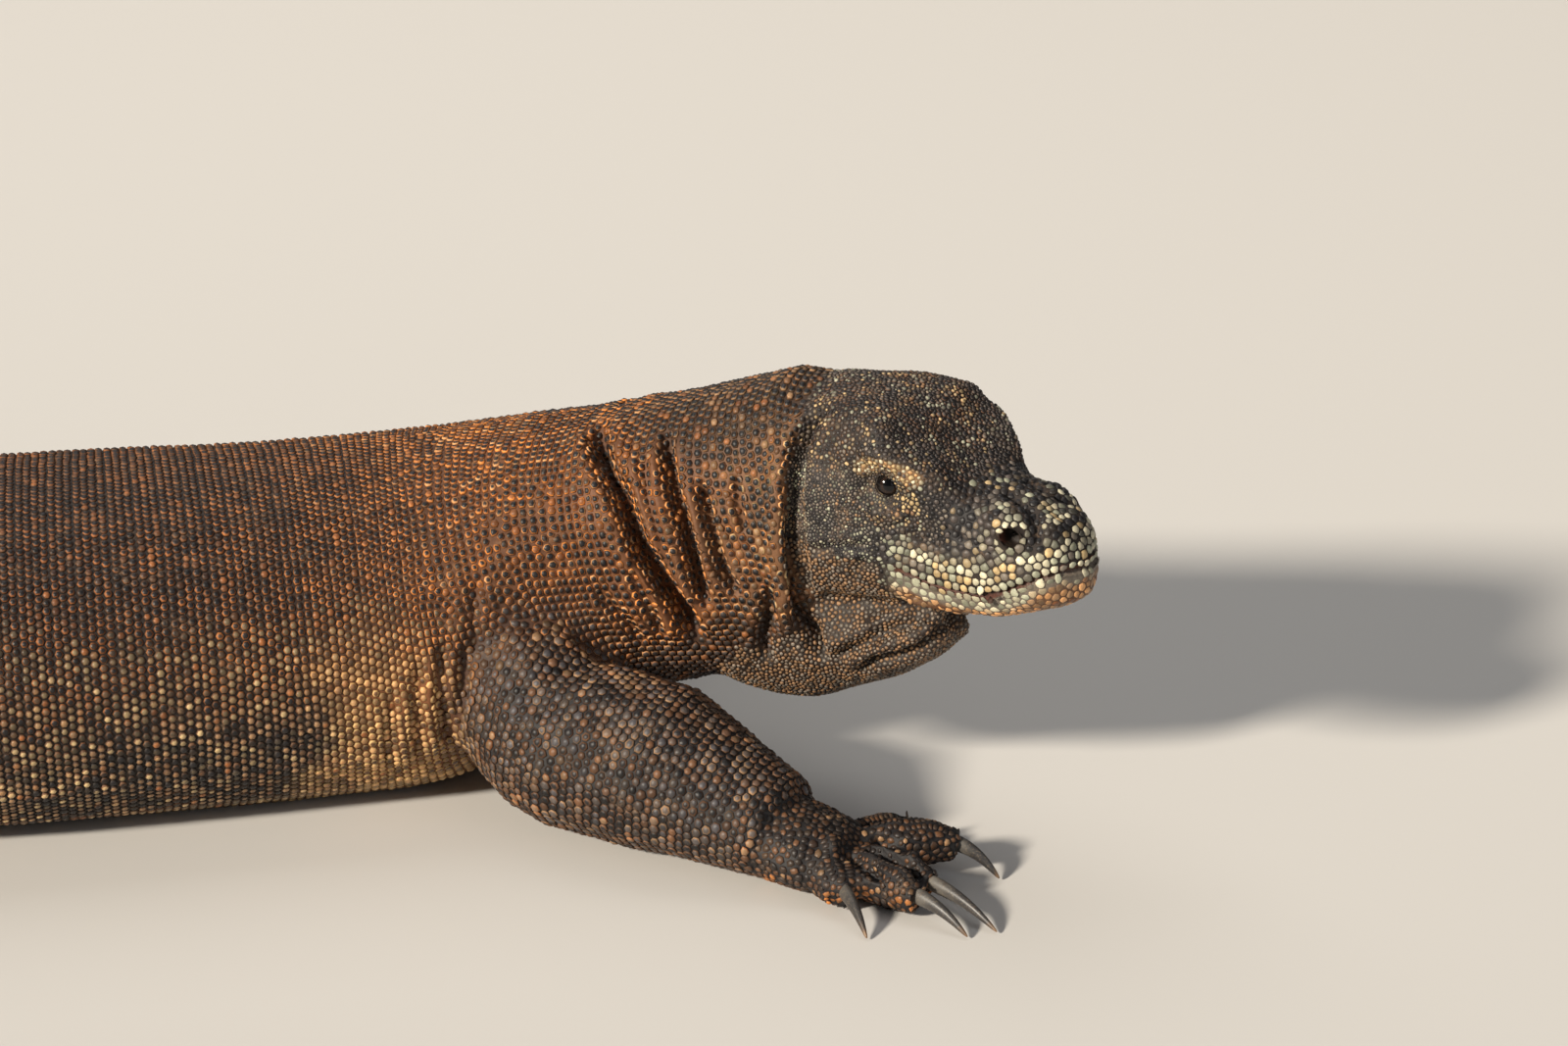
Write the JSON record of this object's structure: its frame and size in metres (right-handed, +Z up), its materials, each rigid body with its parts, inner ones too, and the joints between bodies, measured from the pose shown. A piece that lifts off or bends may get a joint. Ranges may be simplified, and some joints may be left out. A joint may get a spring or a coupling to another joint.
{
  "type": "komodo dragon",
  "caption": "Life-size still model of a Komodo dragon lying on its belly, head raised and turned to its right, tail curving behind.",
  "frame": {"origin": "middle of the bounding box in X and Y, on the floor it lies on", "axes": "+X runs from the tail towards the head end, +Y is the animal's left, +Z is up"},
  "size_m": [2.3732, 0.8642, 0.3201],
  "materials": {
    "head_skin": "fine hard scales, dull",
    "jaw_skin": "smooth plates, slight sheen",
    "neck_skin": "beaded scales in loose folds, dusty",
    "body_skin": "beaded scales, dull and dusty",
    "limb_skin": "coarse beaded scales, dusty",
    "claw": "polished horn, worn",
    "eye": "wet gloss"
  },
  "bodies": {
    "root": {"claw_front_left_1": "claw", "claw_front_left_2": "claw", "claw_front_left_3": "claw", "claw_front_left_4": "claw", "claw_front_left_5": "claw", "claw_front_right_1": "claw", "claw_front_right_2": "claw", "claw_front_right_3": "claw", "claw_front_right_4": "claw", "claw_front_right_5": "claw", "claw_hind_left_1": "claw", "claw_hind_left_2": "claw", "claw_hind_left_3": "claw", "claw_hind_left_4": "claw", "claw_hind_left_5": "claw", "claw_hind_right_1": "claw", "claw_hind_right_2": "claw", "claw_hind_right_3": "claw", "claw_hind_right_4": "claw", "claw_hind_right_5": "claw", "eye_left": "eye", "eye_right": "eye", "foot_left": "limb_skin", "foot_right": "limb_skin", "forearm_left": "limb_skin", "forearm_right": "limb_skin", "hand_left": "limb_skin", "hand_right": "limb_skin", "head": "head_skin", "lower_jaw": "jaw_skin", "neck_front": "neck_skin", "neck_rear": "neck_skin", "shin_left": "limb_skin", "shin_right": "limb_skin", "tail_base": "body_skin", "tail_lower": "body_skin", "tail_middle": "body_skin", "tail_tip": "body_skin", "tail_upper": "body_skin", "thigh_left": "limb_skin", "thigh_right": "limb_skin", "throat": "neck_skin", "trunk_belly": "body_skin", "trunk_chest": "body_skin", "trunk_hips": "body_skin", "upper_arm_left": "limb_skin", "upper_arm_right": "limb_skin"}
  },
  "joints": []
}
